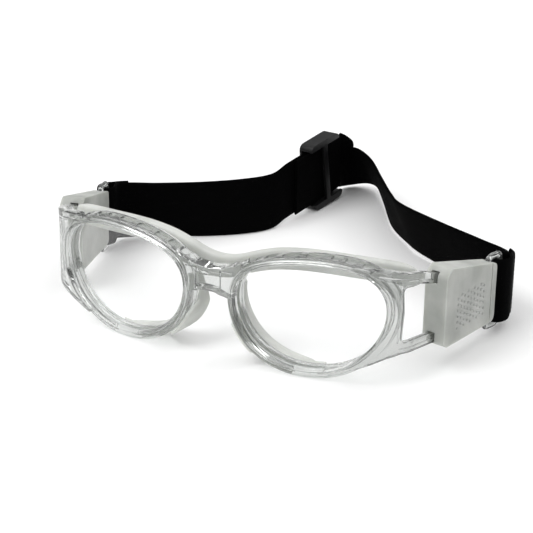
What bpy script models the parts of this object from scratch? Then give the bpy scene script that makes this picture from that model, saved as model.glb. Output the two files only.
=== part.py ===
"""Sports protective goggles: a clear one-piece front with two lenses, soft silicone pads and
side sleeves, and a black elastic strap held by two clear rings and gathered by a slider.

Everything is drawn as worn (X to the wearer's left, Y towards the back of the head, Z up), and
then tipped back by REST_TILT, because on a table the goggles stand on the two rims and on the
back of the strap. Lengths are in metres.
"""

import math

import bmesh
import bpy
from mathutils import Matrix, Vector

# How the goggles stand
REST_TILT = math.radians(5.65)      # the strap is higher than the rims by this slope
STAND_HEIGHT = 0.02337              # from the middle of the lenses down to the table
MIDDLE_BACK = 0.0799                # from the front of the bridge to the middle of the box

# Eye openings: an egg that is blunt at the temple and droops towards it
EYE_SPACING = 0.0354                # from the nose to the middle of an eye opening
EYE_HALF_WIDTH = 0.0265
EYE_HALF_HEIGHT = 0.0185
EYE_EGG = 0.00086
EYE_LEAN = 0.00063
EYE_SQUARE = 0.00057
EYE_SHEAR = 0.0010
EYE_ARCH = 0.0015
EYE_LEAN_HEIGHT = 0.00087
EYE_SQUARE_HEIGHT = 0.00023
FRONT_RADIUS = 0.240                # wrap of the front, seen from above
RING_STEPS = 48

# Rims and lenses
RIM_WIDTH = 0.0030
RIM_WIDTH_DROP = 0.0004             # wider below, narrower above
RIM_DEPTH = 0.0078
RIM_DEPTH_RISE = 0.0008             # deeper above
RIM_CHAMFER = 0.0006
GROOVE_FRONT = 0.0026
GROOVE_WIDTH = 0.0020
GROOVE_DEPTH = 0.0012
LENS_THICKNESS = 0.0014
LENS_TUCK = 0.0008                  # how far the lens edge reaches into the groove
GAP = 0.0003                        # between pieces that touch

# Bridge
BRIDGE_TOP = 0.0106
BRIDGE_ARCH = 0.0022
BRIDGE_FRONT = 0.0004
BRIDGE_DEPTH = 0.0066

# Side arms, drawn on a plan line that turns from the front to the side
ARM_START = (0.0620, 0.0080)
ARM_BEND_RADIUS = 0.0100
ARM_START_ANGLE = math.radians(15.0)
ARM_END_ANGLE = math.radians(75.1)
ARM_HALF_THICKNESS = 0.0013
ARM_SINK = 0.0010
ARM_SINK_LENGTH = 0.0100
SHOULDER_HEIGHT = 0.0022
SHOULDER_DEPTH = 0.0044
SHOULDER_TAPER = 0.12
ARM_STATIONS = 0.0019
WINDOW_START = 0.0058               # along the plan line
WINDOW_END = 0.0310
ARM_END = 0.0465

# Silicone sleeves
SLEEVE_FRONT = 0.0210
SLEEVE_REAR = 0.0538
SLEEVE_REAR_HALF = 0.0026           # each side of the arm's middle, at the rear
SLEEVE_FRONT_OUTER = 0.0056         # the sleeve is a wedge, thicker at the front
SLEEVE_FRONT_INNER = 0.0034
SLEEVE_BOTTOM = -0.0116
SLEEVE_TOP_FRONT = 0.0163
SLEEVE_CUT = 0.0028
SLEEVE_TOP_REAR = 0.0098
SLEEVE_CORNER = 0.0026

# Clear strap rings
RING_BAR = 0.0010                   # radius of the bar
RING_FRONT = 0.0518
RING_REAR = 0.0588
RING_MIDDLE = -0.0016
RING_HALF_HEIGHT = 0.0131
RING_CORNER = 0.0022
RING_CLEARANCE = 0.0004

# Elastic strap
STRAP_WIDTH = 0.0235
STRAP_THICKNESS = 0.0014
LOOP_RADIUS = 0.0032                # middle of the strap around the ring's rear bar
LAYER_STEP = 0.0018                 # between the middles of two strap layers
STRAP_STEP = 0.0030
FOLD_LENGTH = 0.0140

# Slider
SLIDER_MIDDLE = (-0.0238, 0.1372, 0.0052)
SLIDER_ANGLE = math.radians(80.4)   # direction of the straight stretch, seen from above
STRAIGHT_RISE = 0.15                # how steeply that stretch climbs
SLIDER_HALF_LENGTH = 0.0098
SLIDER_HALF_HEIGHT = 0.0145
SLIDER_OPENING_HALF = 0.0122
SLIDER_BAR = 0.0026
SLIDER_THICKNESS = 0.0013
SLIDER_CORNER = 0.0032
TAIL_PAST_SLIDER = 0.0112
OVERLAP_BEFORE_SLIDER = 0.0190

# Brow pad and nose pads
PAD_DEPTH = 0.0046
PAD_HEIGHT = 0.0072
NOSE_PAD_DEPTH = 0.0058
NOSE_PAD_START = math.radians(165.0)
NOSE_PAD_END = math.radians(282.0)
NOSE_PAD_WRAP_START = math.radians(188.0)
NOSE_PAD_WRAP_END = math.radians(246.0)
NOSE_PAD_WRAP_EASE = math.radians(16.0)
NOSE_PAD_WRAP_FRONT = 0.0014
NOSE_PAD_WRAP_THICKNESS = 0.0012
NOSE_PAD_FLARE = 0.0026
NOSE_PAD_LEAN = 0.0022
NOSE_PAD_STEPS = 26


def clear_scene():
    for old in list(bpy.data.objects):
        bpy.data.objects.remove(old, do_unlink=True)


def make_collection(name):
    collection = bpy.data.collections.new(name)
    bpy.context.scene.collection.children.link(collection)
    return collection


def make_material(name, colour, roughness, transmission=0.0):
    material = bpy.data.materials.new(name)
    material.use_nodes = True
    shader = material.node_tree.nodes["Principled BSDF"]
    shader.inputs["Base Color"].default_value = (*colour, 1.0)
    shader.inputs["Roughness"].default_value = roughness
    shader.inputs["Metallic"].default_value = 0.0
    shader.inputs["Transmission Weight"].default_value = transmission
    return material


def make_object(name, mesh, collection, material=None):
    thing = bpy.data.objects.new(name, mesh)
    collection.objects.link(thing)
    if material:
        mesh.materials.clear()
        mesh.materials.append(material)
    return thing


def mesh_from(bm, name):
    bm.normal_update()
    bmesh.ops.recalc_face_normals(bm, faces=bm.faces)
    mesh = bpy.data.meshes.new(name)
    bm.to_mesh(mesh)
    bm.free()
    return mesh


def shade(thing, angle=40.0):
    thing.data.shade_smooth()
    thing.data.set_sharp_from_angle(angle=math.radians(angle))


def loft(name, sections, closed_path):
    """A skin through sections that have the same number of points."""
    bm = bmesh.new()
    rows = [[bm.verts.new(point) for point in section] for section in sections]
    followers = rows[1:] + rows[:1] if closed_path else rows[1:]
    for row, follower in zip(rows, followers):
        for i in range(len(row)):
            bm.faces.new((row[i - 1], row[i], follower[i], follower[i - 1]))
    if not closed_path:
        bm.faces.new(rows[0][::-1])
        bm.faces.new(rows[-1])
    return mesh_from(bm, name)


def smooth_path(points, step):
    """Evenly spaced points on a smooth curve through hand-placed ones (any dimension)."""
    points = [Vector(p) for p in points]
    padded = [2 * points[0] - points[1]] + points + [2 * points[-1] - points[-2]]
    dense = []
    for a, b, c, d in zip(padded, padded[1:], padded[2:], padded[3:]):
        for i in range(24):
            t = i / 24
            dense.append(0.5 * (2 * b + (c - a) * t + (2 * a - 5 * b + 4 * c - d) * t * t
                                + (3 * b - a - 3 * c + d) * t ** 3))
    dense.append(points[-1])
    lengths = [0.0]
    for a, b in zip(dense, dense[1:]):
        lengths.append(lengths[-1] + (b.to_3d() - a.to_3d()).length)
    count = max(2, round(lengths[-1] / step))
    result = []
    at = 0
    for i in range(count + 1):
        target = lengths[-1] * i / count
        while at < len(dense) - 2 and lengths[at + 1] < target:
            at += 1
        span = lengths[at + 1] - lengths[at]
        result.append(dense[at].lerp(dense[at + 1], (target - lengths[at]) / span))
    return result


# Shapes that several pieces share

def eye_outline(angle):
    """Point (x, z) on the edge of the eye opening on the wearer's left."""
    x = (EYE_SPACING + EYE_HALF_WIDTH * math.cos(angle) + EYE_EGG * math.cos(2 * angle)
         + EYE_LEAN * math.sin(2 * angle) - EYE_SQUARE * math.cos(3 * angle))
    z = (EYE_HALF_HEIGHT * math.sin(angle) + EYE_SHEAR * math.cos(angle)
         + EYE_ARCH * math.cos(2 * angle) + EYE_LEAN_HEIGHT * math.sin(2 * angle)
         + EYE_SQUARE_HEIGHT * math.sin(3 * angle))
    return Vector((x, z))


def eye_point(angle, outward, depth):
    """Point outward from the eye opening's edge, and behind the front surface."""
    step = 0.01
    along = (eye_outline(angle + step) - eye_outline(angle - step)).normalized()
    flat = eye_outline(angle) + outward * Vector((along.y, -along.x))
    return Vector((flat.x, front_depth(flat.x) + depth, flat.y))


def front_depth(x):
    return x * x / (2 * FRONT_RADIUS)


def rim_width(angle):
    return RIM_WIDTH - RIM_WIDTH_DROP * math.sin(angle)


def rim_depth(angle):
    return RIM_DEPTH + RIM_DEPTH_RISE * math.sin(angle)


def arm_plan(along, outward):
    """Point (x, y) on the side arm's plan line, and outward from it."""
    bend = ARM_END_ANGLE - ARM_START_ANGLE
    angle = ARM_START_ANGLE + min(max(along, 0.0) / ARM_BEND_RADIUS, bend)
    x = ARM_START[0] + ARM_BEND_RADIUS * (math.sin(angle) - math.sin(ARM_START_ANGLE))
    y = ARM_START[1] + ARM_BEND_RADIUS * (math.cos(ARM_START_ANGLE) - math.cos(angle))
    straight = along - ARM_BEND_RADIUS * bend if along > 0 else 0.0
    if along < 0:
        x += along * math.cos(angle)
        y += along * math.sin(angle)
    elif straight > 0:
        x += straight * math.cos(angle)
        y += straight * math.sin(angle)
    return Vector((x + outward * math.sin(angle), y - outward * math.cos(angle)))


def plate(name, loops, first, last, step, place):
    """A flat outline with holes, cut into strips along its length, and placed by a function.

    place takes (along, height, side), where side is -1 or 1 for the two faces.
    """
    curve = bpy.data.curves.new(name, "CURVE")
    curve.dimensions = "2D"
    curve.fill_mode = "BOTH"
    curve.extrude = 1.0
    for loop in loops:
        spline = curve.splines.new("POLY")
        spline.points.add(len(loop) - 1)
        for point, (along, height) in zip(spline.points, loop):
            point.co = (along * 1000, height * 1000, 0.0, 1.0)
        spline.use_cyclic_u = True
    guide = bpy.data.objects.new(name, curve)
    bpy.context.scene.collection.objects.link(guide)
    graph = bpy.context.evaluated_depsgraph_get()
    flat = bpy.data.meshes.new_from_object(guide.evaluated_get(graph))
    bpy.data.objects.remove(guide, do_unlink=True)
    bm = bmesh.new()
    bm.from_mesh(flat)
    bmesh.ops.remove_doubles(bm, verts=bm.verts, dist=0.0001)
    at = first + step
    while at < last:
        everything = bm.verts[:] + bm.edges[:] + bm.faces[:]
        bmesh.ops.bisect_plane(bm, geom=everything, plane_co=(at * 1000, 0, 0),
                               plane_no=(1, 0, 0), dist=0.00001)
        at += step
    for vert in bm.verts:
        side = 1.0 if vert.co.z > 0 else -1.0
        vert.co = place(vert.co.x / 1000, vert.co.y / 1000, side)
    return mesh_from(bm, name)


def rounded_corners(corners, radius, steps=4):
    """An outline whose corners are arcs."""
    result = []
    for before, corner, after in zip(corners[-1:] + corners, corners, corners[1:] + corners[:1]):
        corner = Vector(corner)
        start = (Vector(before) - corner).normalized()
        end = (Vector(after) - corner).normalized()
        half = 0.5 * start.angle(end)
        reach = min(radius / math.tan(half), 0.45 * (Vector(before) - corner).length,
                    0.45 * (Vector(after) - corner).length)
        for i in range(steps + 1):
            t = i / steps
            a = corner + start * reach
            b = corner + end * reach
            result.append(a.lerp(corner, t).lerp(corner.lerp(b, t), t))
    return result


def add_boolean(thing, other, operation):
    cut = thing.modifiers.new(operation.lower(), "BOOLEAN")
    cut.object = other
    cut.operation = operation
    cut.solver = "EXACT"


def add_bevel(thing, width, segments=2, angle=35.0):
    bevel = thing.modifiers.new("edges", "BEVEL")
    bevel.width = width
    bevel.segments = segments
    bevel.limit_method = "ANGLE"
    bevel.angle_limit = math.radians(angle)


def mirrored(mesh, name):
    copy = mesh.copy()
    copy.name = name
    copy.transform(Matrix.Scale(-1.0, 4, (1, 0, 0)))
    copy.flip_normals()
    return copy


# Clear front

def rim_mesh():
    sections = []
    for i in range(RING_STEPS):
        angle = 2 * math.pi * i / RING_STEPS
        width = rim_width(angle)
        depth = rim_depth(angle)
        groove_rear = GROOVE_FRONT + GROOVE_WIDTH
        profile = [
            (0.0, RIM_CHAMFER), (0.0, GROOVE_FRONT), (GROOVE_DEPTH, GROOVE_FRONT),
            (GROOVE_DEPTH, groove_rear), (0.0, groove_rear), (0.0, depth - RIM_CHAMFER),
            (RIM_CHAMFER, depth), (width - RIM_CHAMFER, depth), (width, depth - RIM_CHAMFER),
            (width, RIM_CHAMFER), (width - RIM_CHAMFER, 0.0), (RIM_CHAMFER, 0.0),
        ]
        sections.append([eye_point(angle, outward, back) for outward, back in profile])
    return loft("rim", sections, True)


def bridge_mesh():
    half = [(0.0130, 0.0030), (0.0092, 0.0004), (0.0050, 0.0013), (0.0020, BRIDGE_ARCH)]
    top = [(0.0050, 0.0112), (0.0095, 0.0128), (0.0140, 0.0150)]
    right = [(0.0, BRIDGE_ARCH + 0.0001)] + half[::-1] + top[::-1] + [(0.0, BRIDGE_TOP)]
    left = [(-x, z) for x, z in right[1:-1]]
    outline = right + left[::-1]

    def place(along, height, side):
        back = BRIDGE_FRONT if side < 0 else BRIDGE_DEPTH
        return Vector((along, front_depth(along) + back, height))

    return plate("bridge", [outline], -0.014, 0.014, 0.004, place)


def arm_outlines(grow):
    """The side arm's outer edge and its window, in (along, height); grow widens the solid."""
    outer = [
        (-0.0120, 0.0181), (-0.0040, 0.0184), (0.0060, 0.0178), (0.0140, 0.0165),
        (0.0205, 0.0146), (0.0290, 0.0130), (ARM_END, 0.0072),
        (ARM_END, -0.0092), (0.0290, -0.0100), (0.0205, -0.0103), (0.0110, -0.0099),
        (0.0055, -0.0101), (0.0015, -0.0116), (-0.0030, -0.0143), (-0.0075, -0.0166),
        (-0.0110, -0.0181),
    ]
    window = [
        (WINDOW_START, 0.0130), (WINDOW_START + 0.0004, 0.0040), (WINDOW_START - 0.0002, -0.0064),
        (0.0205, -0.0071), (WINDOW_END, -0.0072), (WINDOW_END, 0.0092), (0.0205, 0.0110),
        (0.0120, 0.0131),
    ]
    if not grow:
        return [rounded_corners(outer, 0.0010, 2), rounded_corners(window, 0.0016, 4)]
    middle = 0.002
    grown = [(a + (grow if a > 0.03 else 0.0), h + math.copysign(grow, h - middle))
             for a, h in outer]
    shrunk = [(a + math.copysign(grow, 0.015 - a), h - math.copysign(grow, h - middle))
              for a, h in window]
    return [rounded_corners(grown, 0.0010, 2), rounded_corners(shrunk, 0.0012, 4)]


def arm_mesh(grow=0.0):
    half = ARM_HALF_THICKNESS + grow

    def place(along, height, side):
        # Towards the nose the panel sinks until it is nearly flush with the rim's face.
        sunk = ARM_SINK * min(1.0, max(0.0, -along) / ARM_SINK_LENGTH)
        x, y = arm_plan(along, side * half - sunk)
        return Vector((x, y, height))

    bend_end = ARM_BEND_RADIUS * (ARM_END_ANGLE - ARM_START_ANGLE) + 0.001
    return plate("arm", arm_outlines(grow), -0.010, bend_end, ARM_STATIONS, place)


def shoulder_mesh():
    """A ledge behind the arm's top edge, from the brow to just short of the sleeve."""
    def place(along, height, side):
        ledge = SHOULDER_DEPTH - SHOULDER_TAPER * max(0.0, along)
        x, y = arm_plan(along, 0.5 * ARM_HALF_THICKNESS if side > 0 else -ledge)
        return Vector((x, y, height))

    top = [(-0.0050, 0.0180), (0.0000, 0.0178), (0.0060, 0.0174), (0.0140, 0.0161),
           (0.0195, 0.0145)]
    low = [(along, height - SHOULDER_HEIGHT) for along, height in top]
    bend_end = ARM_BEND_RADIUS * (ARM_END_ANGLE - ARM_START_ANGLE) + 0.001
    return plate("shoulder", [top[::-1] + low], -0.001, bend_end, ARM_STATIONS, place)


def make_front_frame(parts, helpers, material):
    """One moulding: half of it is joined up and then mirrored across the nose."""
    frame = make_object("front_frame", rim_mesh(), parts, material)
    eye_space = make_object("eye_space", eye_space_mesh(), helpers)
    for name, mesh in (("bridge_half", bridge_mesh()), ("arm_half", arm_mesh()),
                       ("shoulder_half", shoulder_mesh())):
        joined = make_object(name, mesh, helpers)
        # Each ends inside the rim's wall, short of the lens groove.
        add_boolean(joined, eye_space, "DIFFERENCE")
        add_boolean(frame, joined, "UNION")
    add_boolean(frame, make_object("table", table_mesh(), helpers), "DIFFERENCE")
    mirror = frame.modifiers.new("other_half", "MIRROR")
    mirror.use_axis = (True, False, False)
    mirror.use_bisect_axis = (True, False, False)
    mirror.merge_threshold = 0.0001


def table_mesh():
    """A slab up to the table top, which leaves a small standing flat under each rim."""
    bm = bmesh.new()
    size = 0.16
    bmesh.ops.create_cube(bm, size=size)
    bmesh.ops.translate(bm, verts=bm.verts, vec=(0.0, 0.0, -STAND_HEIGHT - 0.5 * size))
    bmesh.ops.rotate(bm, verts=bm.verts, matrix=Matrix.Rotation(REST_TILT, 3, "X"))
    return mesh_from(bm, "table")


def eye_space_mesh():
    """A plug that reaches halfway into the rim's wall, behind the lens groove."""
    sections = []
    for depth in (-0.004, 0.014):
        sections.append([eye_point(2 * math.pi * i / RING_STEPS, GROOVE_DEPTH + GAP, depth)
                         for i in range(RING_STEPS)])
    return loft("eye_space", sections, False)


def lens_mesh():
    """A thin curved disc whose edge sits in the groove."""
    front = GROOVE_FRONT + 0.5 * (GROOVE_WIDTH - LENS_THICKNESS)
    middle = Vector((EYE_SPACING, 0.0))
    rows = [(0.3, 0), (0.65, 0), (1.0, 0), (1.0, 1), (0.65, 1), (0.3, 1)]
    sections = []
    for size, side in rows:
        row = []
        for i in range(RING_STEPS):
            edge = eye_point(2 * math.pi * i / RING_STEPS, LENS_TUCK, 0.0)
            x = middle.x + (edge.x - middle.x) * size
            z = middle.y + (edge.z - middle.y) * size
            row.append(Vector((x, front_depth(x) + front + side * LENS_THICKNESS, z)))
        sections.append(row)
    return loft("lens", sections, False)


# Silicone

def brow_pad_path():
    """Middle of the pad's rear half from the nose to the sleeve: x, y, height of its top."""
    def behind(x):
        return front_depth(x) + RIM_DEPTH + RIM_DEPTH_RISE + GAP + 0.5 * PAD_DEPTH
    heights = [(0.0, 0.0123), (0.0060, 0.0131), (0.0125, 0.0154), (0.0200, 0.0176),
               (0.0290, 0.0188), (0.0380, 0.0190), (0.0470, 0.0187), (0.0550, 0.0184)]
    points = [Vector((x, behind(x), top)) for x, top in heights]
    points.append(Vector((0.0612, 0.0196, 0.0177)))
    points.append(Vector((0.0648, 0.0214, 0.0168)))
    points.append(Vector((0.0660, 0.0238, 0.0160)))
    return points


def brow_pad_mesh():
    half = brow_pad_path()
    whole = [Vector((-p.x, p.y, p.z)) for p in half[:0:-1]] + half
    path = smooth_path(whole, 0.0035)
    sections = []
    for i, point in enumerate(path):
        before = path[max(i - 1, 0)]
        after = path[min(i + 1, len(path) - 1)]
        along = Vector((after.x - before.x, after.y - before.y, 0.0)).normalized()
        back = Vector((-along.y, along.x, 0.0))
        middle = Vector((point.x, point.y, point.z - 0.5 * PAD_HEIGHT))
        section = []
        for step in range(12):
            turn = 2 * math.pi * (step + 0.5) / 12
            wide = math.copysign(abs(math.cos(turn)) ** 0.55, math.cos(turn))
            tall = math.copysign(abs(math.sin(turn)) ** 0.55, math.sin(turn))
            section.append(middle + 0.5 * PAD_DEPTH * wide * back
                           + 0.5 * PAD_HEIGHT * tall * Vector((0, 0, 1)))
        sections.append(section)
    return loft("brow_pad", sections, False)


def nose_pad_mesh():
    """A lip behind the rim that leans towards the eye, deepest beside the nose."""
    sections = []
    for i in range(NOSE_PAD_STEPS + 1):
        share = i / NOSE_PAD_STEPS
        angle = NOSE_PAD_START + (NOSE_PAD_END - NOSE_PAD_START) * share
        swell = math.sin(math.pi * min(1.0, share * 1.05 + 0.02)) ** 0.6
        depth = 0.0016 + (NOSE_PAD_DEPTH - 0.0016) * swell
        front = rim_depth(angle) + GAP
        width = rim_width(angle)
        nasal = max(0.0, -math.cos(angle))
        flare = swell * (NOSE_PAD_FLARE * nasal - NOSE_PAD_LEAN * (1.0 - nasal))
        lip = width + 0.0004 - 0.0022 * max(0.0, -math.sin(angle)) ** 2
        # Beside the nose the lip also reaches forward along the rim's outer wall.
        rise = min(1.0, (angle - NOSE_PAD_WRAP_START) / NOSE_PAD_WRAP_EASE,
                   (NOSE_PAD_WRAP_END - angle) / NOSE_PAD_WRAP_EASE)
        out = min(1.0, max(0.0, 2.5 * rise))
        reach = 0.0001 + (min(1.0, max(0.0, 1.6 * rise - 0.6))
                          * (rim_depth(angle) - NOSE_PAD_WRAP_FRONT))
        edge = 0.0002 + 0.0006 * out
        wall = lip - 0.0006 + out * (width + GAP - lip + 0.0006)
        skin = lip + out * (width + GAP + NOSE_PAD_WRAP_THICKNESS - lip)
        profile = [
            (0.0002, front), (wall, front), (wall, front - reach),
            (0.5 * (wall + skin) + 0.0002, front - reach), (skin, front - reach + edge),
            (skin + 0.4 * flare, front + 0.35 * depth),
            (skin - 0.0004 + flare, front + 0.75 * depth), (0.6 * width + flare, front + depth),
            (0.2 * width + 0.5 * flare, front + depth), (min(0.2 * flare, 0.8 * flare), front + 0.7 * depth),
            (-0.0004, front + 0.3 * depth),
        ]
        sections.append([eye_point(angle, outward, back) for outward, back in profile])
    return loft("nose_pad", sections, False)


def sleeve_mesh():
    outline = [
        (SLEEVE_FRONT, SLEEVE_BOTTOM), (SLEEVE_REAR, SLEEVE_BOTTOM),
        (SLEEVE_REAR, SLEEVE_TOP_REAR), (SLEEVE_FRONT + SLEEVE_CUT, SLEEVE_TOP_FRONT),
        (SLEEVE_FRONT, SLEEVE_TOP_FRONT - SLEEVE_CUT),
    ]

    def place(along, height, side):
        share = (along - SLEEVE_FRONT) / (SLEEVE_REAR - SLEEVE_FRONT)
        front = SLEEVE_FRONT_OUTER if side > 0 else SLEEVE_FRONT_INNER
        half = front + (SLEEVE_REAR_HALF - front) * share
        x, y = arm_plan(along, side * half)
        return Vector((x, y, height))

    outline = rounded_corners(outline, SLEEVE_CORNER, 5)
    return plate("sleeve", [outline], SLEEVE_FRONT, SLEEVE_REAR, 0.1, place)


def make_sleeve(name, flip, parts, helpers, material):
    """A sleeve with a pocket for the arm and a vertical eye for the ring's front bar."""
    shapes = {"body": sleeve_mesh(), "arm_pocket": arm_mesh(GAP), "ring_eye": ring_eye_mesh()}
    if flip:
        shapes = {key: mirrored(mesh, key) for key, mesh in shapes.items()}
    sleeve = make_object(name, shapes["body"], parts, material)
    add_bevel(sleeve, 0.0012, 3)
    for key in ("arm_pocket", "ring_eye"):
        cutter = make_object(f"{name}_{key}", shapes[key], helpers)
        add_boolean(sleeve, cutter, "DIFFERENCE")
    return sleeve


# Strap rings

def ring_pivot():
    x, y = arm_plan(RING_FRONT, 0.0)
    return Vector((x, y, RING_MIDDLE))


def ring_eye_mesh():
    bm = bmesh.new()
    radius = RING_BAR + RING_CLEARANCE
    bmesh.ops.create_cone(bm, cap_ends=True, segments=20, radius1=radius, radius2=radius,
                          depth=0.060, matrix=Matrix.Translation(ring_pivot()))
    return mesh_from(bm, "ring_eye")


def ring_mesh():
    """A rounded rectangle of round bar; its origin is the middle of the front bar."""
    length = RING_REAR - RING_FRONT
    corners = [(0.0, -RING_HALF_HEIGHT), (length, -RING_HALF_HEIGHT),
               (length, RING_HALF_HEIGHT), (0.0, RING_HALF_HEIGHT)]
    along = Vector((math.cos(ARM_END_ANGLE), math.sin(ARM_END_ANGLE), 0.0))
    outward = Vector((along.y, -along.x, 0.0))
    path = rounded_corners(corners, RING_CORNER, 5)
    sections = []
    for i, point in enumerate(path):
        heading = (path[(i + 1) % len(path)] - path[i - 1]).normalized()
        aside = Vector((heading.y, -heading.x))
        section = []
        for step in range(10):
            turn = 2 * math.pi * step / 10
            flat = point + RING_BAR * math.cos(turn) * aside
            section.append(flat.x * along + Vector((0, 0, flat.y))
                           + RING_BAR * math.sin(turn) * outward)
        sections.append(section)
    return loft("ring", sections, True)


# Strap

def ribbon(name, stations, width, thickness):
    """A flat band. A station is (x, y, z, lean); the top edge leans to the left of its run."""
    sections = []
    for i, station in enumerate(stations):
        before = stations[max(i - 1, 0)]
        after = stations[min(i + 1, len(stations) - 1)]
        along = Vector((after[0] - before[0], after[1] - before[1], 0.0)).normalized()
        aside = Vector((-along.y, along.x, 0.0))
        lean = station[3]
        up = math.cos(lean) * Vector((0, 0, 1)) + math.sin(lean) * aside
        face = math.cos(lean) * aside - math.sin(lean) * Vector((0, 0, 1))
        middle = Vector(station[:3])
        sections.append([middle + 0.5 * (a * width * up + b * thickness * face)
                         for a, b in ((-1, -1), (1, -1), (1, 1), (-1, 1))])
    return loft(name, sections, False)


def ring_end_stations(main):
    """The folded end: an outer layer, a turn around the ring's rear bar, then the main band.

    main starts at the ring on the wearer's left and runs towards the back of the head.
    """
    path = smooth_path(main, STRAP_STEP)
    outer = []
    length = 0.0
    for i in range(1, len(path) - 1):
        length += (path[i].to_3d() - path[i - 1].to_3d()).length
        if length > FOLD_LENGTH:
            break
        heading = Vector((path[i + 1][0] - path[i - 1][0], path[i + 1][1] - path[i - 1][1]))
        heading.normalize()
        spread = max(0.0, 1.0 - length / 0.0065)
        away = LAYER_STEP + (2 * LOOP_RADIUS - LAYER_STEP) * spread
        outer.append(Vector((path[i][0] + away * heading.y, path[i][1] - away * heading.x,
                             path[i][2], 0.0)))
    turn = []
    for i in range(7):
        angle = math.pi * i / 6
        x, y = arm_plan(RING_REAR - LOOP_RADIUS * math.sin(angle),
                        LOOP_RADIUS * math.cos(angle))
        turn.append(Vector((x, y, RING_MIDDLE, 0.0)))
    return outer[::-1] + turn, path


def ring_end_points():
    """The first points of the main band behind the ring, on the wearer's left."""
    start = arm_plan(RING_REAR, -LOOP_RADIUS)
    second = arm_plan(RING_REAR + 0.0055, -0.0022)
    return [
        (start.x, start.y, RING_MIDDLE, 0.0),
        (second.x, second.y, -0.0018, 0.0),
        (0.0813, 0.0716, -0.0028, 0.02),
        (0.0769, 0.0765, -0.0033, 0.06),
        (0.0690, 0.0812, -0.0032, 0.12),
    ]


def slider_axis():
    return Vector((math.cos(SLIDER_ANGLE), math.sin(SLIDER_ANGLE), 0.0))


def straight_point(along, inward, lean=0.0):
    """A point on the straight stretch that the slider travels along."""
    axis = slider_axis()
    aside = Vector((axis.y, -axis.x, 0.0))
    point = Vector(SLIDER_MIDDLE) + along * axis + inward * aside
    return (point.x, point.y, point.z + along * STRAIGHT_RISE, lean)


def left_strap_stations():
    """From the left ring round the back, through the slider and just past it."""
    main = ring_end_points() + [
        (0.0515, 0.0928, -0.0024, 0.34),
        (0.0315, 0.1034, -0.0010, 0.42),
        (0.0230, 0.1113, -0.0004, 0.38),
        (0.0123, 0.1236, 0.0010, 0.28),
        (0.0018, 0.1392, 0.0025, 0.34),
        (-0.0065, 0.1494, 0.0039, 0.50),
        (-0.0132, 0.1546, 0.0043, 0.62),
        (-0.0186, 0.1542, 0.0036, 0.46),
        straight_point(0.0125, 0.5 * LAYER_STEP, 0.03),
        straight_point(0.0105, 0.5 * LAYER_STEP),
        straight_point(0.0000, 0.5 * LAYER_STEP),
        straight_point(-OVERLAP_BEFORE_SLIDER, 0.5 * LAYER_STEP),
    ]
    fold, path = ring_end_stations(main)
    return fold + path[1:]


def right_strap_stations():
    """From the right ring to its tail just past the slider, drawn on the left and mirrored."""
    def flipped(point):
        return (-point[0], *point[1:])
    main = ring_end_points() + [
        (0.0530, 0.0884, -0.0026, 0.04),
        (0.0392, 0.0975, -0.0018, 0.0),
        (0.0312, 0.1065, -0.0009, 0.0),
        flipped(straight_point(-0.0230, -0.5 * LAYER_STEP)),
        flipped(straight_point(-0.0100, -0.5 * LAYER_STEP)),
        flipped(straight_point(0.0, -0.5 * LAYER_STEP)),
        flipped(straight_point(TAIL_PAST_SLIDER, -0.5 * LAYER_STEP)),
    ]
    fold, path = ring_end_stations(main)
    return fold + path[1:]


def bar_tack_mesh(along):
    """A row of thread across the folded end, on its outer face, on the wearer's left."""
    fold, _ = ring_end_stations(ring_end_points())
    before = Vector(fold[along][:3])
    after = Vector(fold[along + 1][:3])
    run = (after - before).normalized()
    away = Vector((-run.y, run.x, 0.0))
    face = before + away * (0.5 * STRAP_THICKNESS + GAP + 0.0003)
    bm = bmesh.new()
    axes = Matrix((run, away, (0, 0, 1))).transposed().to_4x4()
    size = Matrix.Diagonal((0.0016, 0.0005, 0.0190, 1.0))
    bmesh.ops.create_cube(bm, size=1.0, matrix=Matrix.Translation(face) @ axes @ size)
    return mesh_from(bm, "bar_tack")


# Slider

def slider_axes():
    """Directions along the strap, up the slider and outward through it."""
    outward = Vector((slider_axis().y, -slider_axis().x, 0.0))
    run = (slider_axis() + Vector((0, 0, STRAIGHT_RISE))).normalized()
    return run, outward.cross(run), outward


def slider_block(name, along, height, across, helpers):
    """A box cutter: along and across are (low, high) from the slider's middle."""
    run, up, outward = slider_axes()
    bm = bmesh.new()
    bmesh.ops.create_cube(bm, size=2.0)
    for vert in bm.verts:
        low_or_high = (0 if vert.co.x < 0 else 1, 0 if vert.co.y < 0 else 1)
        vert.co = (along[low_or_high[0]] * run + vert.co.z * height * up
                   + across[low_or_high[1]] * outward)
    helper = make_object(name, mesh_from(bm, name), helpers)
    helper.location = SLIDER_MIDDLE
    return helper


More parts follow.
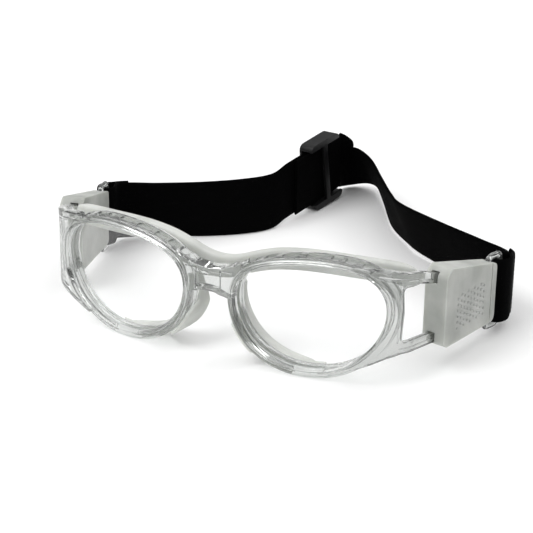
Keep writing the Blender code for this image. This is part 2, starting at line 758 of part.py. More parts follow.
def make_slider(parts, helpers, material):
    """A flat frame whose two end bars lie outside the strap and whose middle bar lies inside."""
    reach = 0.5 * STRAP_THICKNESS + 0.5 * LAYER_STEP + GAP
    depth = reach + SLIDER_THICKNESS
    half = SLIDER_HALF_LENGTH
    past = 0.004
    slot = SLIDER_OPENING_HALF - 0.0003
    run, up, outward = slider_axes()

    def place(along, height, side):
        return along * run + height * up + side * depth * outward

    outline = rounded_corners([(-half, -SLIDER_HALF_HEIGHT), (half, -SLIDER_HALF_HEIGHT),
                               (half, SLIDER_HALF_HEIGHT), (-half, SLIDER_HALF_HEIGHT)],
                              SLIDER_CORNER, 5)
    slider = make_object("slider", plate("slider", [outline], -1, -1, 1, place), parts, material)
    slider.location = SLIDER_MIDDLE
    add_bevel(slider, 0.0008, 2)
    cuts = [
        ("passage", (-half - past, half + past), SLIDER_OPENING_HALF, (-reach, reach)),
        ("outer_slot", (SLIDER_BAR - half, half - SLIDER_BAR), slot, (-depth - past, 0.0)),
        ("inner_slot_front", (-half - past, -0.5 * SLIDER_BAR), slot, (0.0, depth + past)),
        ("inner_slot_rear", (0.5 * SLIDER_BAR, half + past), slot, (0.0, depth + past)),
    ]
    for name, along, height, across in cuts:
        cutter = slider_block(f"slider_{name}", along, height, across, helpers)
        add_boolean(slider, cutter, "DIFFERENCE")


def main():
    clear_scene()
    parts = make_collection("sports_goggles")
    helpers = make_collection("cutters")

    clear = make_material("clear_polycarbonate", (0.92, 0.94, 0.94), 0.06, 0.9)
    lens_material = make_material("lens_polycarbonate", (0.98, 0.99, 0.99), 0.02, 1.0)
    silicone = make_material("milky_silicone", (0.78, 0.79, 0.77), 0.45, 0.2)
    webbing = make_material("black_elastic", (0.012, 0.012, 0.013), 0.85)
    thread = make_material("black_thread", (0.02, 0.02, 0.022), 0.7)
    moulding = make_material("black_plastic", (0.02, 0.02, 0.02), 0.4)

    make_front_frame(parts, helpers, clear)
    lens = lens_mesh()
    make_object("lens_left", lens, parts, lens_material)
    make_object("lens_right", mirrored(lens, "lens_right"), parts, lens_material)
    make_object("brow_pad", brow_pad_mesh(), parts, silicone)
    nose_pad = nose_pad_mesh()
    make_object("nose_pad_left", nose_pad, parts, silicone)
    make_object("nose_pad_right", mirrored(nose_pad, "nose_pad_right"), parts, silicone)
    make_sleeve("sleeve_left", False, parts, helpers, silicone)
    make_sleeve("sleeve_right", True, parts, helpers, silicone)

    ring = ring_mesh()
    left_ring = make_object("strap_ring_left", ring, parts, clear)
    left_ring.location = ring_pivot()
    right_ring = make_object("strap_ring_right", mirrored(ring, "ring_right"), parts, clear)
    right_ring.location = ring_pivot() * Vector((-1, 1, 1))

    left_band = ribbon("strap_left", left_strap_stations(), STRAP_WIDTH, STRAP_THICKNESS)
    make_object("strap_left", left_band, parts, webbing)
    right_band = ribbon("strap_right", right_strap_stations(), STRAP_WIDTH, STRAP_THICKNESS)
    make_object("strap_right", mirrored(right_band, "strap_right"), parts, webbing)
    for row, along in (("rear", 0), ("front", 2)):
        tack = bar_tack_mesh(along)
        make_object(f"bar_tack_left_{row}", tack, parts, thread)
        make_object(f"bar_tack_right_{row}", mirrored(tack, f"tack_{row}"), parts, thread)
    make_slider(parts, helpers, moulding)

    # Tip the whole thing back onto the table and centre it.
    stand = bpy.data.objects.new("stand", None)
    parts.objects.link(stand)
    for thing in list(parts.objects) + list(helpers.objects):
        if thing is not stand:
            thing.parent = stand
    stand.rotation_euler = (-REST_TILT, 0.0, 0.0)
    stand.location = (0.0, -MIDDLE_BACK, STAND_HEIGHT)

    for cutter in helpers.objects:
        cutter.hide_render = True
        cutter.display_type = "WIRE"
    for thing in parts.objects:
        if thing.type == "MESH":
            shade(thing)


main()
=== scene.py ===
"""Sports protective goggles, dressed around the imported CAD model.

Pieces are drawn as worn (X to the wearer's left, Y towards the back of the head, Z up) and then
tipped back onto the table by stand(), as the CAD model is. Lengths are in metres.
"""

import math

import bmesh
import bpy
from mathutils import Matrix, Vector


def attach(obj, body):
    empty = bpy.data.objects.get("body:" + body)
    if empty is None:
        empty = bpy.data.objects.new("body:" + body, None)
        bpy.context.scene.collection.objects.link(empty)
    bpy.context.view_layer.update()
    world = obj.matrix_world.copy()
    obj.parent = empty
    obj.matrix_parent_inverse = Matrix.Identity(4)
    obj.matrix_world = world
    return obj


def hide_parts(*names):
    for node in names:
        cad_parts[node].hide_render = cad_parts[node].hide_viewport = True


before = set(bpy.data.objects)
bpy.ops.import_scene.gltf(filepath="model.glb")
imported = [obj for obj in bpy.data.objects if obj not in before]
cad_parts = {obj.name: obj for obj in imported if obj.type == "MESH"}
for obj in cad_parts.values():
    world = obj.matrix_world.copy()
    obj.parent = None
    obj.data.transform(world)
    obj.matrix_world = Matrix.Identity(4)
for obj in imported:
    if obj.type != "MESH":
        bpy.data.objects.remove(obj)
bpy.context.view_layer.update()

# How the goggles stand
REST_TILT = math.radians(5.65)
STAND_HEIGHT = 0.02337
MIDDLE_BACK = 0.0799

# Eye openings
EYE_SPACING = 0.0354
EYE_HALF_WIDTH = 0.0265
EYE_HALF_HEIGHT = 0.0185
FRONT_RADIUS = 0.240
AROUND = 168

# Rims and lenses
RIM_WIDTH = 0.0030
RIM_WIDTH_DROP = 0.0004
RIM_DEPTH = 0.0078
RIM_DEPTH_RISE = 0.0008
GROOVE_FRONT = 0.0026
GROOVE_WIDTH = 0.0020
GROOVE_DEPTH = 0.0012
LENS_THICKNESS = 0.0014
POCKET_FRONT = 0.0024
POCKET_REAR = 0.0070
POCKET_DEPTH = 0.0010
LENS_TUCK = 0.0008
GAP = 0.0003

# Side arms
ARM_START = (0.0620, 0.0080)
ARM_BEND_RADIUS = 0.0100
ARM_START_ANGLE = math.radians(15.0)
ARM_END_ANGLE = math.radians(75.1)
ARM_HALF_THICKNESS = 0.0013
ARM_SINK = 0.0010
ARM_SINK_LENGTH = 0.0100
SHOULDER_HEIGHT = 0.0022
LINE_WIDTH = 0.0004
LINE_DEPTH = 0.0005
SHOULDER_DEPTH = 0.0044
SHOULDER_TAPER = 0.12
WINDOW_START = 0.0058
WINDOW_END = 0.0310
ARM_END = 0.0465

# Sleeves and rings
SLEEVE_FRONT = 0.0210
SLEEVE_REAR = 0.0538
SLEEVE_REAR_HALF = 0.0026
SLEEVE_FRONT_OUTER = 0.0056
SLEEVE_FRONT_INNER = 0.0034
SLEEVE_BOTTOM = -0.0116
SLEEVE_SLOPE = -math.atan((SLEEVE_FRONT_OUTER - SLEEVE_REAR_HALF) / (SLEEVE_REAR - SLEEVE_FRONT))
SLEEVE_TOP_FRONT = 0.0163
SLEEVE_CUT = 0.0028
SLEEVE_TOP_REAR = 0.0098
RING_BAR = 0.0010
RING_FRONT = 0.0518
RING_REAR = 0.0588
RING_MIDDLE = -0.0016
RING_HALF_HEIGHT = 0.0131

# Strap and slider
STRAP_WIDTH = 0.0235
STRAP_THICKNESS = 0.0014
LOOP_RADIUS = 0.0032
LAYER_STEP = 0.0018
FOLD_LENGTH = 0.0140
FOLD_SPREAD = 0.0075
THREAD_RADIUS = 0.00019
SLIDER_MIDDLE = (-0.0238, 0.1372, 0.0052)
SLIDER_ANGLE = math.radians(80.4)
STRAIGHT_RISE = 0.15
SLIDER_HALF_LENGTH = 0.0098
SLIDER_HALF_HEIGHT = 0.0145
SLIDER_OPENING_HALF = 0.0122
SLIDER_BAR = 0.0026
SLIDER_THICKNESS = 0.0013
TAIL_PAST_SLIDER = 0.0112
OVERLAP_BEFORE_SLIDER = 0.0190

# Pads
PAD_DEPTH = 0.0046
PAD_HEIGHT = 0.0072
NOSE_PAD_DEPTH = 0.0058
NOSE_PAD_START = math.radians(165.0)
NOSE_PAD_END = math.radians(282.0)
NOSE_PAD_WRAP_START = math.radians(188.0)
NOSE_PAD_WRAP_END = math.radians(246.0)
NOSE_PAD_WRAP_EASE = math.radians(16.0)
NOSE_PAD_WRAP_FRONT = 0.0014
NOSE_PAD_WRAP_THICKNESS = 0.0012
NOSE_PAD_FLARE = 0.0026
NOSE_PAD_LEAN = 0.0022


# Tools

def stand():
    return (Matrix.Translation((0.0, -MIDDLE_BACK, STAND_HEIGHT))
            @ Matrix.Rotation(-REST_TILT, 4, "X"))


def add_object(name, mesh):
    thing = bpy.data.objects.new(name, mesh)
    bpy.context.scene.collection.objects.link(thing)
    return thing


def mesh_from(bm, name):
    bm.normal_update()
    bmesh.ops.recalc_face_normals(bm, faces=bm.faces)
    mesh = bpy.data.meshes.new(name)
    bm.to_mesh(mesh)
    bm.free()
    return mesh


def shade(mesh, angle=32.0):
    mesh.shade_smooth()
    mesh.set_sharp_from_angle(angle=math.radians(angle))


def baked(thing):
    """The object's mesh with its modifiers applied, without them or the object."""
    graph = bpy.context.evaluated_depsgraph_get()
    graph.update()
    mesh = bpy.data.meshes.new_from_object(thing.evaluated_get(graph))
    bpy.data.objects.remove(thing, do_unlink=True)
    return mesh


def boolean(mesh, others, operation):
    """Joins the meshes to, or cuts them from, the first one."""
    base = add_object("base", mesh)
    helpers = []
    for other in others:
        helper = add_object("helper", other)
        cut = base.modifiers.new(operation, "BOOLEAN")
        cut.object = helper
        cut.operation = operation
        cut.solver = "EXACT"
        helpers.append(helper)
    result = baked(base)
    for helper in helpers:
        bpy.data.objects.remove(helper, do_unlink=True)
    return result


def bevelled(mesh, width, segments=3, angle=35.0):
    base = add_object("base", mesh)
    bevel = base.modifiers.new("edges", "BEVEL")
    bevel.width = width
    bevel.segments = segments
    bevel.limit_method = "ANGLE"
    bevel.angle_limit = math.radians(angle)
    return baked(base)


def mirrored(mesh):
    copy = mesh.copy()
    copy.transform(Matrix.Scale(-1.0, 4, (1, 0, 0)))
    copy.flip_normals()
    return copy


def joined(meshes, name):
    bm = bmesh.new()
    for mesh in meshes:
        bm.from_mesh(mesh)
    mesh = bpy.data.meshes.new(name)
    bm.to_mesh(mesh)
    bm.free()
    return mesh


def finish_piece(name, mesh, material, body, nodes, angle=32.0):
    """Stands the piece on the table and ties it to its CAD body and nodes."""
    mesh.transform(stand())
    mesh.materials.clear()
    mesh.materials.append(material)
    shade(mesh, angle)
    piece = add_object(name, mesh)
    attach(piece, body)
    if nodes:
        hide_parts(*nodes)
    return piece


def loft(name, sections, closed_path, uvs=None):
    bm = bmesh.new()
    layer = bm.loops.layers.uv.new("weave") if uvs else None
    rows = [[bm.verts.new(point) for point in section] for section in sections]
    followers = rows[1:] + rows[:1] if closed_path else rows[1:]
    for at, (row, follower) in enumerate(zip(rows, followers)):
        for i in range(len(row)):
            face = bm.faces.new((row[i - 1], row[i], follower[i], follower[i - 1]))
            if layer:
                before, here = uvs[1][i - 1], uvs[1][i]
                for loop, (u, v) in zip(face.loops, ((at, before), (at, here),
                                                     (at + 1, here), (at + 1, before))):
                    loop[layer].uv = (uvs[0][u], v)
    if not closed_path:
        bm.faces.new(rows[0][::-1])
        bm.faces.new(rows[-1])
    return mesh_from(bm, name)


def smooth_path(points, step):
    points = [Vector(p) for p in points]
    padded = [2 * points[0] - points[1]] + points + [2 * points[-1] - points[-2]]
    dense = []
    for a, b, c, d in zip(padded, padded[1:], padded[2:], padded[3:]):
        for i in range(24):
            t = i / 24
            dense.append(0.5 * (2 * b + (c - a) * t + (2 * a - 5 * b + 4 * c - d) * t * t
                                + (3 * b - a - 3 * c + d) * t ** 3))
    dense.append(points[-1])
    lengths = [0.0]
    for a, b in zip(dense, dense[1:]):
        lengths.append(lengths[-1] + (b.to_3d() - a.to_3d()).length)
    count = max(2, round(lengths[-1] / step))
    result = []
    at = 0
    for i in range(count + 1):
        target = lengths[-1] * i / count
        while at < len(dense) - 2 and lengths[at + 1] < target:
            at += 1
        span = lengths[at + 1] - lengths[at]
        result.append(dense[at].lerp(dense[at + 1], (target - lengths[at]) / span))
    return result


def rounded_corners(corners, radius, steps=4):
    result = []
    for before, corner, after in zip(corners[-1:] + corners, corners, corners[1:] + corners[:1]):
        corner = Vector(corner)
        start = (Vector(before) - corner).normalized()
        end = (Vector(after) - corner).normalized()
        half = 0.5 * start.angle(end)
        reach = min(radius / math.tan(half), 0.45 * (Vector(before) - corner).length,
                    0.45 * (Vector(after) - corner).length)
        for i in range(steps + 1):
            t = i / steps
            a = corner + start * reach
            b = corner + end * reach
            result.append(a.lerp(corner, t).lerp(corner.lerp(b, t), t))
    return result


def plate(name, loops, first, last, step, place):
    """A flat outline with holes, cut into strips along its length, and placed by a function."""
    curve = bpy.data.curves.new(name, "CURVE")
    curve.dimensions = "2D"
    curve.fill_mode = "BOTH"
    curve.extrude = 1.0
    for points in loops:
        spline = curve.splines.new("POLY")
        spline.points.add(len(points) - 1)
        for point, (along, height) in zip(spline.points, points):
            point.co = (along * 1000, height * 1000, 0.0, 1.0)
        spline.use_cyclic_u = True
    guide = add_object(name, curve)
    flat = baked(guide)
    bm = bmesh.new()
    bm.from_mesh(flat)
    bmesh.ops.remove_doubles(bm, verts=bm.verts, dist=0.0001)
    at = first + step
    while at < last:
        everything = bm.verts[:] + bm.edges[:] + bm.faces[:]
        bmesh.ops.bisect_plane(bm, geom=everything, plane_co=(at * 1000, 0, 0),
                               plane_no=(1, 0, 0), dist=0.00001)
        at += step
    for vert in bm.verts:
        side = 1.0 if vert.co.z > 0 else -1.0
        vert.co = place(vert.co.x / 1000, vert.co.y / 1000, side)
    return mesh_from(bm, name)


def interpolate(pairs, x):
    """A smooth curve through (x, value) pairs, at x."""
    if x <= pairs[0][0]:
        return pairs[0][1]
    for (x0, v0), (x1, v1) in zip(pairs, pairs[1:]):
        if x <= x1:
            t = (x - x0) / (x1 - x0)
            t = t * t * (3 - 2 * t)
            return v0 + (v1 - v0) * t
    return pairs[-1][1]


# Shapes that several pieces share

def eye_outline(angle):
    x = (EYE_SPACING + EYE_HALF_WIDTH * math.cos(angle) + 0.00086 * math.cos(2 * angle)
         + 0.00063 * math.sin(2 * angle) - 0.00057 * math.cos(3 * angle))
    z = (EYE_HALF_HEIGHT * math.sin(angle) + 0.0010 * math.cos(angle)
         + 0.0015 * math.cos(2 * angle) + 0.00087 * math.sin(2 * angle)
         + 0.00023 * math.sin(3 * angle))
    return Vector((x, z))


def front_depth(x):
    return x * x / (2 * FRONT_RADIUS)


def eye_point(angle, outward, depth):
    """A point round the eye opening, moved outward from its edge and back from the face."""
    step = 0.01
    along = (eye_outline(angle + step) - eye_outline(angle - step)).normalized()
    flat = eye_outline(angle) + outward * Vector((along.y, -along.x))
    return Vector((flat.x, front_depth(flat.x) + depth, flat.y))


def rim_width(angle):
    return RIM_WIDTH - RIM_WIDTH_DROP * math.sin(angle)


def rim_depth(angle):
    return RIM_DEPTH + RIM_DEPTH_RISE * math.sin(angle)


def arm_plan(along, outward):
    """The arm seen from above: straight, then a bend, then straight to the sleeve's end."""
    bend = ARM_END_ANGLE - ARM_START_ANGLE
    angle = ARM_START_ANGLE + min(max(along, 0.0) / ARM_BEND_RADIUS, bend)
    x = ARM_START[0] + ARM_BEND_RADIUS * (math.sin(angle) - math.sin(ARM_START_ANGLE))
    y = ARM_START[1] + ARM_BEND_RADIUS * (math.cos(ARM_START_ANGLE) - math.cos(angle))
    straight = along - ARM_BEND_RADIUS * bend if along > 0 else along
    if along < 0 or straight > 0:
        x += straight * math.cos(angle)
        y += straight * math.sin(angle)
    return Vector((x + outward * math.sin(angle), y - outward * math.cos(angle)))


# Clear front

def rim_mesh():
    sections = []
    groove_rear = GROOVE_FRONT + GROOVE_WIDTH
    for i in range(AROUND):
        angle = 2 * math.pi * i / AROUND
        width = rim_width(angle)
        depth = rim_depth(angle)
        corners = [
            (0.0003, 0.0006), (0.0, 0.0012), (0.0, GROOVE_FRONT),
            (GROOVE_DEPTH, GROOVE_FRONT), (GROOVE_DEPTH, groove_rear), (0.0, groove_rear),
            (0.0, depth), (width, depth), (width, 0.0011), (width - 0.0007, 0.0008),
            (width - 0.0010, 0.0), (0.00145, 0.0), (0.00132, 0.0005), (0.00108, 0.0005),
            (0.00095, 0.0), (0.0007, 0.0),
        ]
        profile = rounded_corners(corners, 0.00035, 3)
        sections.append([eye_point(angle, outward, back) for outward, back in profile])
    return loft("rim", sections, True)


def bridge_mesh():
    """The bridge: an arch over the nose whose top dips between the rims."""
    low = [(0.0, 0.0022), (0.0020, 0.0021), (0.0050, 0.0013), (0.0092, 0.0004), (0.0130, 0.0030)]
    top = [(0.0, 0.0106), (0.0050, 0.0112), (0.0095, 0.0128), (0.0140, 0.0150)]
    sections = []
    steps = 40
    for i in range(steps + 1):
        x = -0.0128 + 0.0256 * i / steps
        bottom = interpolate(low, abs(x))
        height = interpolate(top, abs(x))
        back = front_depth(x)
        # The front face has a shallow hollow with a raised lip below it.
        hollow = 0.0007 * math.exp(-(x / 0.0050) ** 2)
        corners = [
            (0.0004, bottom), (0.0004, bottom + 0.0016), (0.0004 + hollow, bottom + 0.0026),
            (0.0004 + hollow, height - 0.0016), (0.0004, height), (0.0066, height),
            (0.0066, bottom),
        ]
        section = [(x, back + y, z) for y, z in rounded_corners(corners, 0.0006, 3)]
        sections.append([Vector(point) for point in section])
    return loft("bridge", sections, False)


def arm_sink(along):
    """Towards the nose the side panel sinks until it is nearly flush with the rim's face."""
    return ARM_SINK * min(1.0, max(0.0, -along) / ARM_SINK_LENGTH)


def arm_outlines(grow):
    """The side arm's outer edge and its window, in (along, height); grow widens the solid."""
    outer = [
        (-0.0120, 0.0181), (-0.0040, 0.0184), (0.0060, 0.0178), (0.0140, 0.0165),
        (0.0205, 0.0146), (0.0290, 0.0130), (ARM_END, 0.0072),
        (ARM_END, -0.0092), (0.0290, -0.0100), (0.0205, -0.0103), (0.0110, -0.0099),
        (0.0055, -0.0101), (0.0015, -0.0116), (-0.0030, -0.0143), (-0.0075, -0.0166),
        (-0.0110, -0.0181),
    ]
    window = [
        (WINDOW_START, 0.0130), (WINDOW_START + 0.0004, 0.0040), (WINDOW_START - 0.0002, -0.0064),
        (0.0205, -0.0071), (WINDOW_END, -0.0072), (WINDOW_END, 0.0092), (0.0205, 0.0110),
        (0.0120, 0.0131),
    ]
    if not grow:
        return [rounded_corners(outer, 0.0016, 5), rounded_corners(window, 0.0016, 8)]
    middle = 0.002
    grown = [(a + (grow if a > 0.03 else 0.0), h + math.copysign(grow, h - middle))
             for a, h in outer]
    shrunk = [(a + math.copysign(grow, 0.015 - a), h - math.copysign(grow, h - middle))
              for a, h in window]
    return [rounded_corners(grown, 0.0010, 2), rounded_corners(shrunk, 0.0012, 4)]


def arm_mesh(grow=0.0):
    half = ARM_HALF_THICKNESS + grow

    def place(along, height, side):
        x, y = arm_plan(along, side * half - arm_sink(along))
        return Vector((x, y, height))

    bend_end = ARM_BEND_RADIUS * (ARM_END_ANGLE - ARM_START_ANGLE) + 0.001
    return plate("arm", arm_outlines(grow), -0.010, bend_end, 0.0007 if not grow else 0.0019,
                 place)


def shoulder_mesh():
    """A ledge behind the arm's top edge, from the brow to just short of the sleeve."""
    def place(along, height, side):
        ledge = SHOULDER_DEPTH - SHOULDER_TAPER * max(0.0, along)
        x, y = arm_plan(along, 0.5 * ARM_HALF_THICKNESS if side > 0 else -ledge)
        return Vector((x, y, height))

    top = [(-0.0050, 0.0180), (0.0000, 0.0178), (0.0060, 0.0174), (0.0140, 0.0161),
           (0.0195, 0.0145)]
    low = [(along, height - SHOULDER_HEIGHT) for along, height in top]
    bend_end = ARM_BEND_RADIUS * (ARM_END_ANGLE - ARM_START_ANGLE) + 0.001
    return plate("shoulder", [top[::-1] + low], -0.001, bend_end, 0.0007, place)


def eye_space_mesh():
    sections = []
    for depth in (-0.004, 0.014):
        sections.append([eye_point(2 * math.pi * i / AROUND, GROOVE_DEPTH + GAP, depth)
                         for i in range(AROUND)])
    return loft("eye_space", sections, False)


def table_mesh():
    bm = bmesh.new()
    size = 0.16
    bmesh.ops.create_cube(bm, size=size)
    bmesh.ops.translate(bm, verts=bm.verts, vec=(0.0, 0.0, -STAND_HEIGHT - 0.5 * size))
    bmesh.ops.rotate(bm, verts=bm.verts, matrix=Matrix.Rotation(REST_TILT, 3, "X"))
    return mesh_from(bm, "table")


def pocket_mesh(angle, half_angle, low, high, floor):
    """A rounded recess in the outer wall of the rim, between two depths."""
    steps = 28
    rings = []
    for outward in (floor, 0.0062):
        ring = []
        for i in range(steps):
            turn = 2 * math.pi * i / steps
            wide = math.copysign(abs(math.cos(turn)) ** 0.6, math.cos(turn))
            deep = math.copysign(abs(math.sin(turn)) ** 0.6, math.sin(turn))
            at = angle + half_angle * wide
            ring.append(eye_point(at, outward, 0.5 * (low + high) + 0.5 * (high - low) * deep))
        rings.append(ring)
    return loft("pocket", rings, False)


def pocket_meshes():
    """Recesses along the brow of each rim: (middle, half length) in degrees round the eye."""
    result = []
    brow = [(128, 3.6), (116, 5.0), (101, 6.0), (85, 5.6), (71, 3.4), (61, 4.2), (48, 4.6)]
    for middle, half in brow:
        result.append(pocket_mesh(math.radians(middle), math.radians(half), POCKET_FRONT,
                                  POCKET_REAR, RIM_WIDTH - POCKET_DEPTH))
    return result


def panel_line_mesh(points):
    """A narrow channel in the side panel's outer face, along (along, height) points."""
    left = []
    right = []
    for i, (along, height) in enumerate(points):
        before = Vector(points[max(i - 1, 0)])
        after = Vector(points[min(i + 1, len(points) - 1)])
        heading = (after - before).normalized()
        aside = 0.5 * LINE_WIDTH * heading
        left.append((along - aside.y, height + aside.x))
        right.append((along + aside.y, height - aside.x))

    def place(along, height, side):
        outward = ARM_HALF_THICKNESS + (0.0010 if side > 0 else -LINE_DEPTH)
        x, y = arm_plan(along, outward - arm_sink(along))
        return Vector((x, y, height))

    return plate("panel_line", [left + right[::-1]], -0.010, 0.016, 0.0007, place)


def box_mesh(low, high):
    bm = bmesh.new()
    bmesh.ops.create_cube(bm, size=1.0)
    for vert in bm.verts:
        for axis in range(3):
            vert.co[axis] = low[axis] if vert.co[axis] < 0 else high[axis]
    return mesh_from(bm, "box")


def bridge_detail_meshes():
    """Channels in the bridge's front face: two level lines and a frame round a flat boss."""
    front = -0.002
    boxes = [
        ((-0.0040, 0.0089), (0.0040, 0.0092)),
        ((-0.0034, 0.0077), (0.0034, 0.0080)),
        ((0.0046, 0.0034), (0.0049, 0.0102)),
        ((0.0046, 0.0099), (0.0090, 0.0102)),
        ((0.0020, 0.0040), (0.0046, 0.0043)),
    ]
    result = []
    for (x0, z0), (x1, z1) in boxes:
        back = 0.0019 if x1 < 0.0042 else 0.0016
        result.append(box_mesh((x0, front, z0), (x1, back, z1)))
        if x0 > 0:
            result.append(box_mesh((-x1, front, z0), (-x0, back, z1)))
    return result


def front_mesh():
    eye_space = eye_space_mesh()
    arm = bevelled(arm_mesh(), 0.00035, 3)
    bridge = boolean(bridge_mesh(), [eye_space], "DIFFERENCE")
    arm = boolean(arm, [eye_space], "DIFFERENCE")
    shoulder = boolean(bevelled(shoulder_mesh(), 0.0003, 2), [eye_space], "DIFFERENCE")
    half = boolean(rim_mesh(), [bridge, arm, shoulder], "UNION")
    lines = [
        panel_line_mesh([(-0.0100, 0.0160), (-0.0040, 0.0163), (0.0050, 0.0148)]),
        panel_line_mesh([(0.0046, 0.0136), (0.0050, 0.0040), (0.0044, -0.0062)]),
        panel_line_mesh([(0.0050, -0.0084), (0.0110, -0.0082), (0.0200, -0.0086)]),
        panel_line_mesh([(0.0070, 0.0153), (0.0120, 0.0146), (0.0190, 0.0127)]),
    ]
    cuts = [table_mesh()] + pocket_meshes() + lines + bridge_detail_meshes()
    half = boolean(half, cuts, "DIFFERENCE")
    thing = add_object("half", half)
    mirror = thing.modifiers.new("other_half", "MIRROR")
    mirror.use_axis = (True, False, False)
    mirror.use_bisect_axis = (True, False, False)
    mirror.merge_threshold = 0.00005
    return baked(thing)


def lens_mesh():
    front = GROOVE_FRONT + 0.5 * (GROOVE_WIDTH - LENS_THICKNESS)
    sizes = [0.15, 0.35, 0.55, 0.75, 0.9, 1.0]
    sections = []
    for size, side in [(s, 0) for s in sizes] + [(s, 1) for s in sizes[::-1]]:
        row = []
        for i in range(AROUND):
            edge = eye_point(2 * math.pi * i / AROUND, LENS_TUCK, 0.0)
            x = EYE_SPACING + (edge.x - EYE_SPACING) * size
            row.append(Vector((x, front_depth(x) + front + side * LENS_THICKNESS, edge.z * size)))
        sections.append(row)
    return loft("lens", sections, False)


# Silicone

def brow_pad_mesh():
    """A soft strip behind the brow, from sleeve to sleeve."""
    def behind(x):
        return front_depth(x) + RIM_DEPTH + RIM_DEPTH_RISE + GAP + 0.5 * PAD_DEPTH
    heights = [(0.0, 0.0123), (0.0060, 0.0131), (0.0125, 0.0154), (0.0200, 0.0176),
               (0.0290, 0.0188), (0.0380, 0.0190), (0.0470, 0.0187), (0.0550, 0.0184)]
    half = [Vector((x, behind(x), top)) for x, top in heights]
    half += [Vector((0.0612, 0.0196, 0.0177)), Vector((0.0648, 0.0214, 0.0168)),
             Vector((0.0660, 0.0238, 0.0160))]
    path = smooth_path([Vector((-p.x, p.y, p.z)) for p in half[:0:-1]] + half, 0.0012)
    sections = []
    around = 28
    for i, point in enumerate(path):
        before = path[max(i - 1, 0)]
        after = path[min(i + 1, len(path) - 1)]
        along = Vector((after.x - before.x, after.y - before.y, 0.0)).normalized()
        back = Vector((-along.y, along.x, 0.0))
        from_end = min(i, len(path) - 1 - i) * 0.0012
        size = min(1.0, 0.55 + 0.45 * math.sqrt(min(1.0, from_end / 0.003)))
        middle = Vector((point.x, point.y, point.z - 0.5 * PAD_HEIGHT))
        section = []
        for step in range(around):
            turn = 2 * math.pi * (step + 0.5) / around
            wide = math.copysign(abs(math.cos(turn)) ** 0.5, math.cos(turn))
            tall = math.copysign(abs(math.sin(turn)) ** 0.5, math.sin(turn))
            section.append(middle + 0.5 * PAD_DEPTH * wide * size * back
                           + 0.5 * PAD_HEIGHT * tall * size * Vector((0, 0, 1)))
        sections.append(section)
    return loft("brow_pad", sections, False)


def nose_pad_mesh():
    """A lip behind the rim that flares towards the nose."""
    sections = []
    steps = 90
    for i in range(steps + 1):
        share = i / steps
        angle = NOSE_PAD_START + (NOSE_PAD_END - NOSE_PAD_START) * share
        swell = math.sin(math.pi * min(1.0, share * 1.05 + 0.02)) ** 0.6
        depth = 0.0016 + (NOSE_PAD_DEPTH - 0.0016) * swell
        front = rim_depth(angle) + GAP
        width = rim_width(angle)
        nasal = max(0.0, -math.cos(angle))
        flare = swell * (NOSE_PAD_FLARE * nasal - NOSE_PAD_LEAN * (1.0 - nasal))
        lip = width + 0.0004 - 0.0022 * max(0.0, -math.sin(angle)) ** 2
        # Beside the nose the lip also reaches forward along the rim's outer wall.
        rise = min(1.0, (angle - NOSE_PAD_WRAP_START) / NOSE_PAD_WRAP_EASE,
                   (NOSE_PAD_WRAP_END - angle) / NOSE_PAD_WRAP_EASE)
        out = min(1.0, max(0.0, 2.5 * rise))
        reach = 0.0001 + (min(1.0, max(0.0, 1.6 * rise - 0.6))
                          * (rim_depth(angle) - NOSE_PAD_WRAP_FRONT))
        edge = 0.0002 + 0.0006 * out
        wall = lip - 0.0006 + out * (width + GAP - lip + 0.0006)
        skin = lip + out * (width + GAP + NOSE_PAD_WRAP_THICKNESS - lip)
        corners = [
            (0.0002, front), (wall, front), (wall, front - reach),
            (0.5 * (wall + skin) + 0.0002, front - reach), (skin, front - reach + edge),
            (skin + 0.4 * flare, front + 0.35 * depth),
            (skin - 0.0004 + flare, front + 0.75 * depth), (0.6 * width + flare, front + depth),
            (0.2 * width + 0.5 * flare, front + depth),
            (min(0.2 * flare, 0.8 * flare), front + 0.7 * depth),
            (-0.0004, front + 0.3 * depth),
        ]
        profile = rounded_corners(corners, 0.0008, 3)
        sections.append([eye_point(angle, outward, back) for outward, back in profile])
    return loft("nose_pad", sections, False)


def sleeve_point(along, height, outward):
    x, y = arm_plan(along, outward)
    return Vector((x, y, height))


def sleeve_half(along, side):
    """The sleeve is a wedge, thicker at the front and outwards."""
    share = (along - SLEEVE_FRONT) / (SLEEVE_REAR - SLEEVE_FRONT)
    front = SLEEVE_FRONT_OUTER if side > 0 else SLEEVE_FRONT_INNER
    return front + (SLEEVE_REAR_HALF - front) * share


def stud_meshes():
    """Small raised studs in a plain grid on the sleeve's outer face."""
    result = []
    spacing = 0.0021
    for column in range(9):
        for row in range(6):
            along = 0.0290 + spacing * column
            height = -0.0066 + spacing * (row + 0.5 * (column % 2))
            bm = bmesh.new()
            bmesh.ops.create_uvsphere(bm, u_segments=10, v_segments=6, radius=0.00050)
            x, y = arm_plan(along, sleeve_half(along, 1))
            flat = (Matrix.Rotation(ARM_END_ANGLE - SLEEVE_SLOPE, 4, "Z")
                    @ Matrix.Diagonal((1, 0.22, 1, 1)))
            bmesh.ops.transform(bm, verts=bm.verts,
                                matrix=Matrix.Translation((x, y, height)) @ flat)
            result.append(mesh_from(bm, "stud"))
    return result


